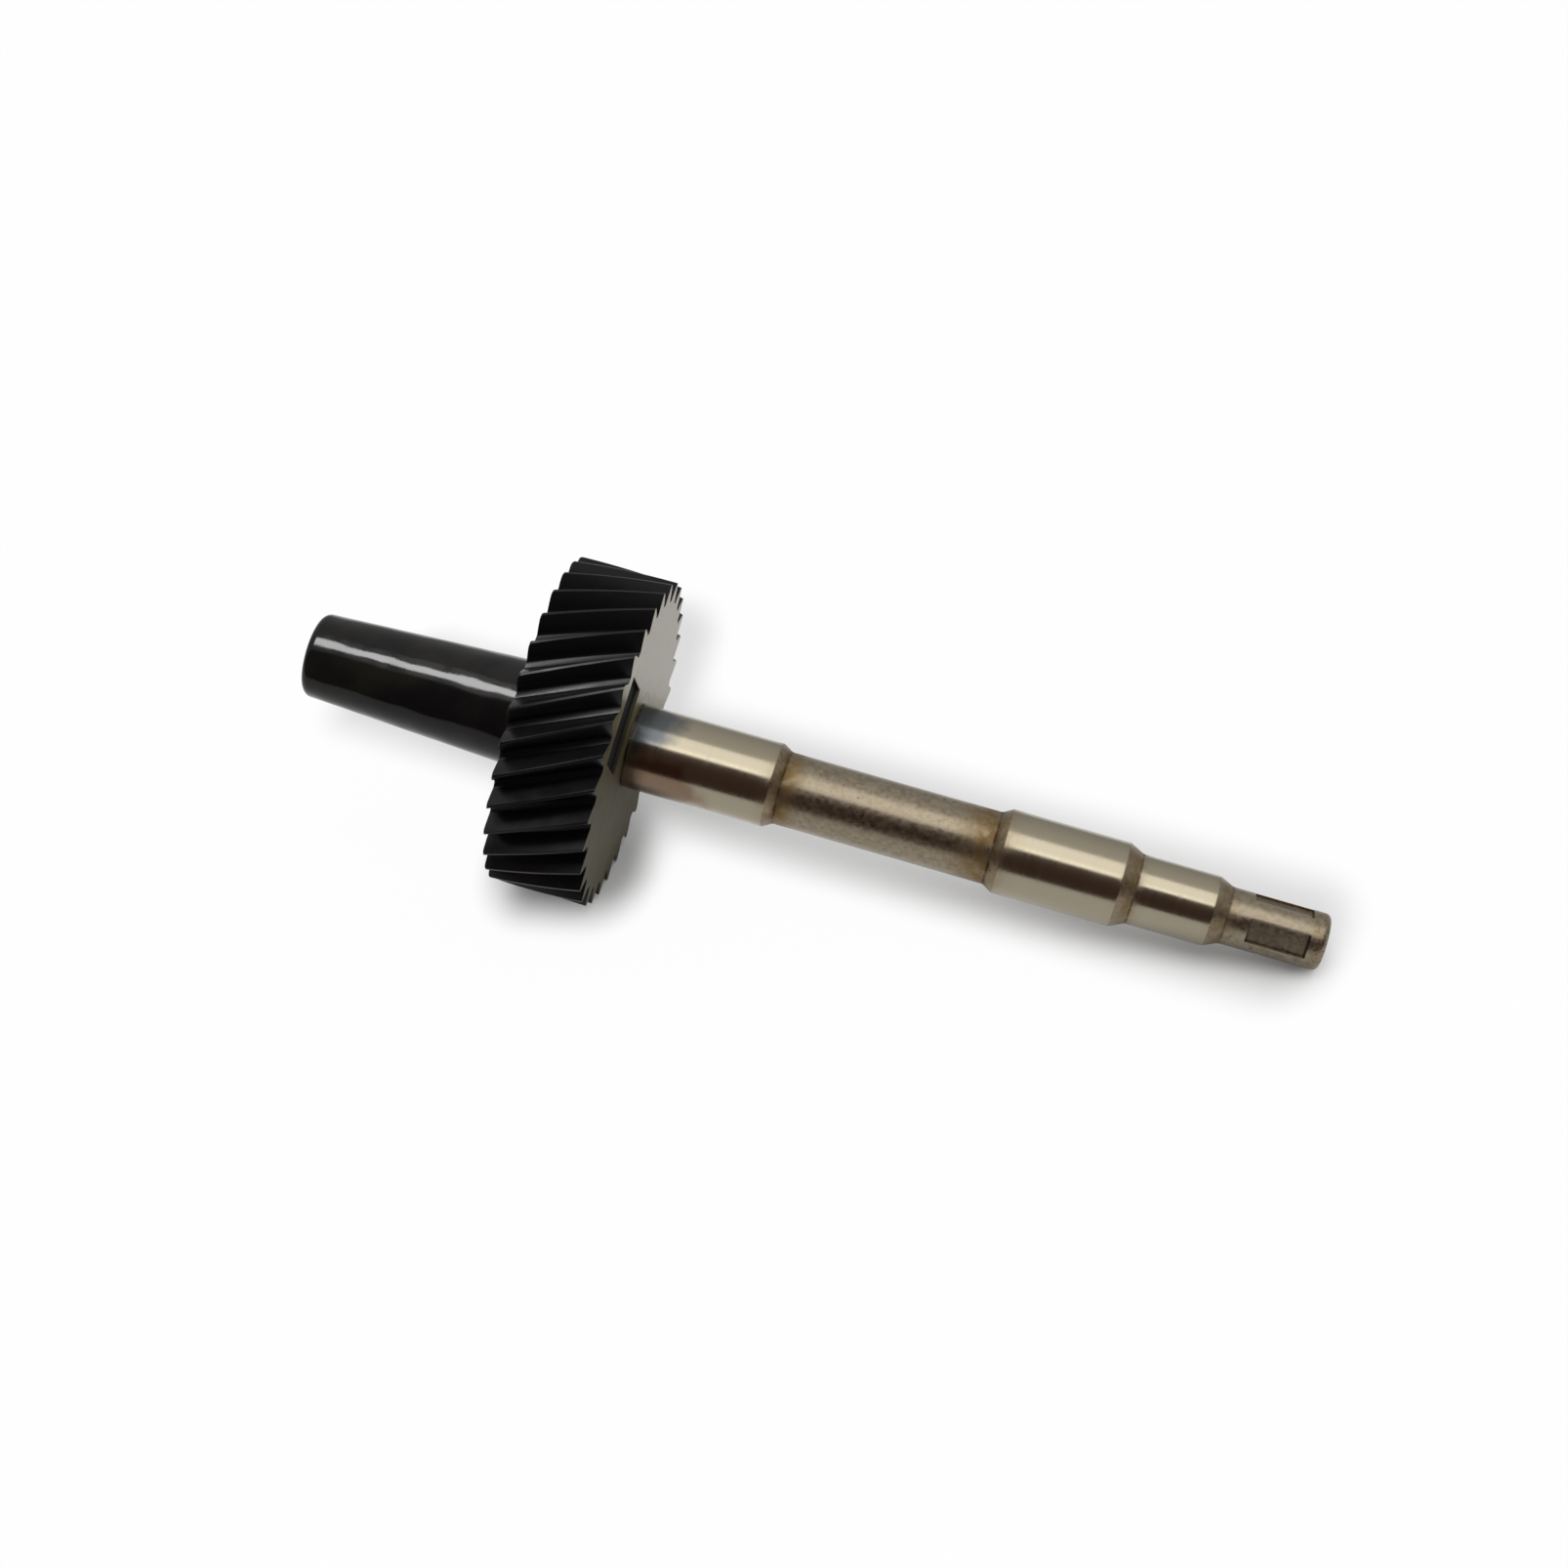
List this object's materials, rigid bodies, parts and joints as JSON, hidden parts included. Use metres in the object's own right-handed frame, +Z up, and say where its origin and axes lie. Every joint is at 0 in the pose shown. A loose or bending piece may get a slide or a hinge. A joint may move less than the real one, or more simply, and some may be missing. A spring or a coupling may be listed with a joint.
{
  "type": "speedometer driven gear",
  "caption": "Black plastic helical gear with a tapered tail, moulded on a long stepped steel shaft whose crimped square socket drives a flexible cable.",
  "frame": {"origin": "middle of the bounding box's underside, on the surface that the part lies on", "axes": "+X along the part from the tail to the cable end, +Z up from the surface; the shaft's axis lies in the XZ plane and falls 11.1 degrees towards +X"},
  "size_m": [0.1448, 0.0468, 0.0484],
  "materials": {
    "gear_plastic": "black moulded plastic, satin on the teeth and glossy on the tail",
    "shaft_steel": "turned steel, journals ground bright, waist and cable end dull with specks and brown stains"
  },
  "bodies": {
    "root": {"driven_gear": "gear_plastic", "steel_shaft": "shaft_steel"}
  },
  "joints": []
}
